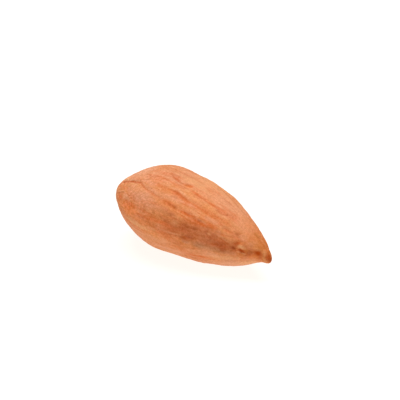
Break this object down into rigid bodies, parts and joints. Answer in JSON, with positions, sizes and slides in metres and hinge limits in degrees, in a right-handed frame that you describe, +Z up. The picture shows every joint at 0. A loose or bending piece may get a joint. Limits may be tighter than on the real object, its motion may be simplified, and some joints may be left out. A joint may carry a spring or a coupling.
{
  "type": "almond",
  "caption": "Whole almond kernel in its brown wrinkled skin, blunt at one end and pointed at the other, lying on its broad side.",
  "frame": {"origin": "middle of the bounding box seen from above, at the height of the surface that the almond rests on", "axes": "+X from the blunt end to the tip, +Z up, and -Y on the side whose margin carries the scar"},
  "size_m": [0.0238, 0.0132, 0.0095],
  "materials": {
    "skin": "dry matt brown seed skin, finely scurfy and veined along its length"
  },
  "bodies": {
    "root": {"almond": "skin"}
  },
  "joints": []
}
